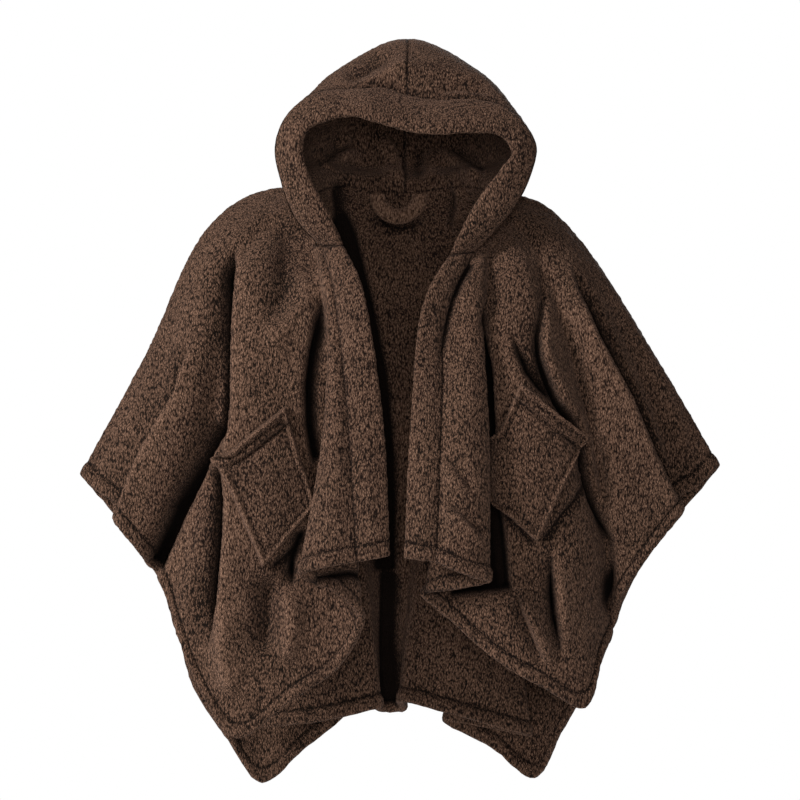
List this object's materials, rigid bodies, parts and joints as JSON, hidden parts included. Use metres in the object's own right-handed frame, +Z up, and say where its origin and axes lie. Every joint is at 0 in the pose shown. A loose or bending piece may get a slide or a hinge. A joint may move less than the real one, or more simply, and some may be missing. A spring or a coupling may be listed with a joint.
{
  "type": "hooded cape",
  "caption": "Open-front hooded cape of thick brown fleece, in its hollow worn form, with a rolled hood edge, front bands, slanted patch pockets and a pointed hem.",
  "frame": {"origin": "centre of the neck opening, level with the side neck seams", "axes": "+Z up, +X towards the wearer's left, -Y out of the open front"},
  "size_m": [0.7963, 0.3393, 0.9467],
  "materials": {
    "fleece": "dark brown curly pile on both faces, matte with a soft nap"
  },
  "bodies": {
    "root": {"back": "fleece", "front_right": "fleece", "front_left": "fleece", "band_right": "fleece", "band_left": "fleece", "hood_right": "fleece", "hood_left": "fleece", "hood_band": "fleece", "pocket_right": "fleece", "pocket_left": "fleece", "hanging_loop": "fleece"}
  },
  "joints": []
}
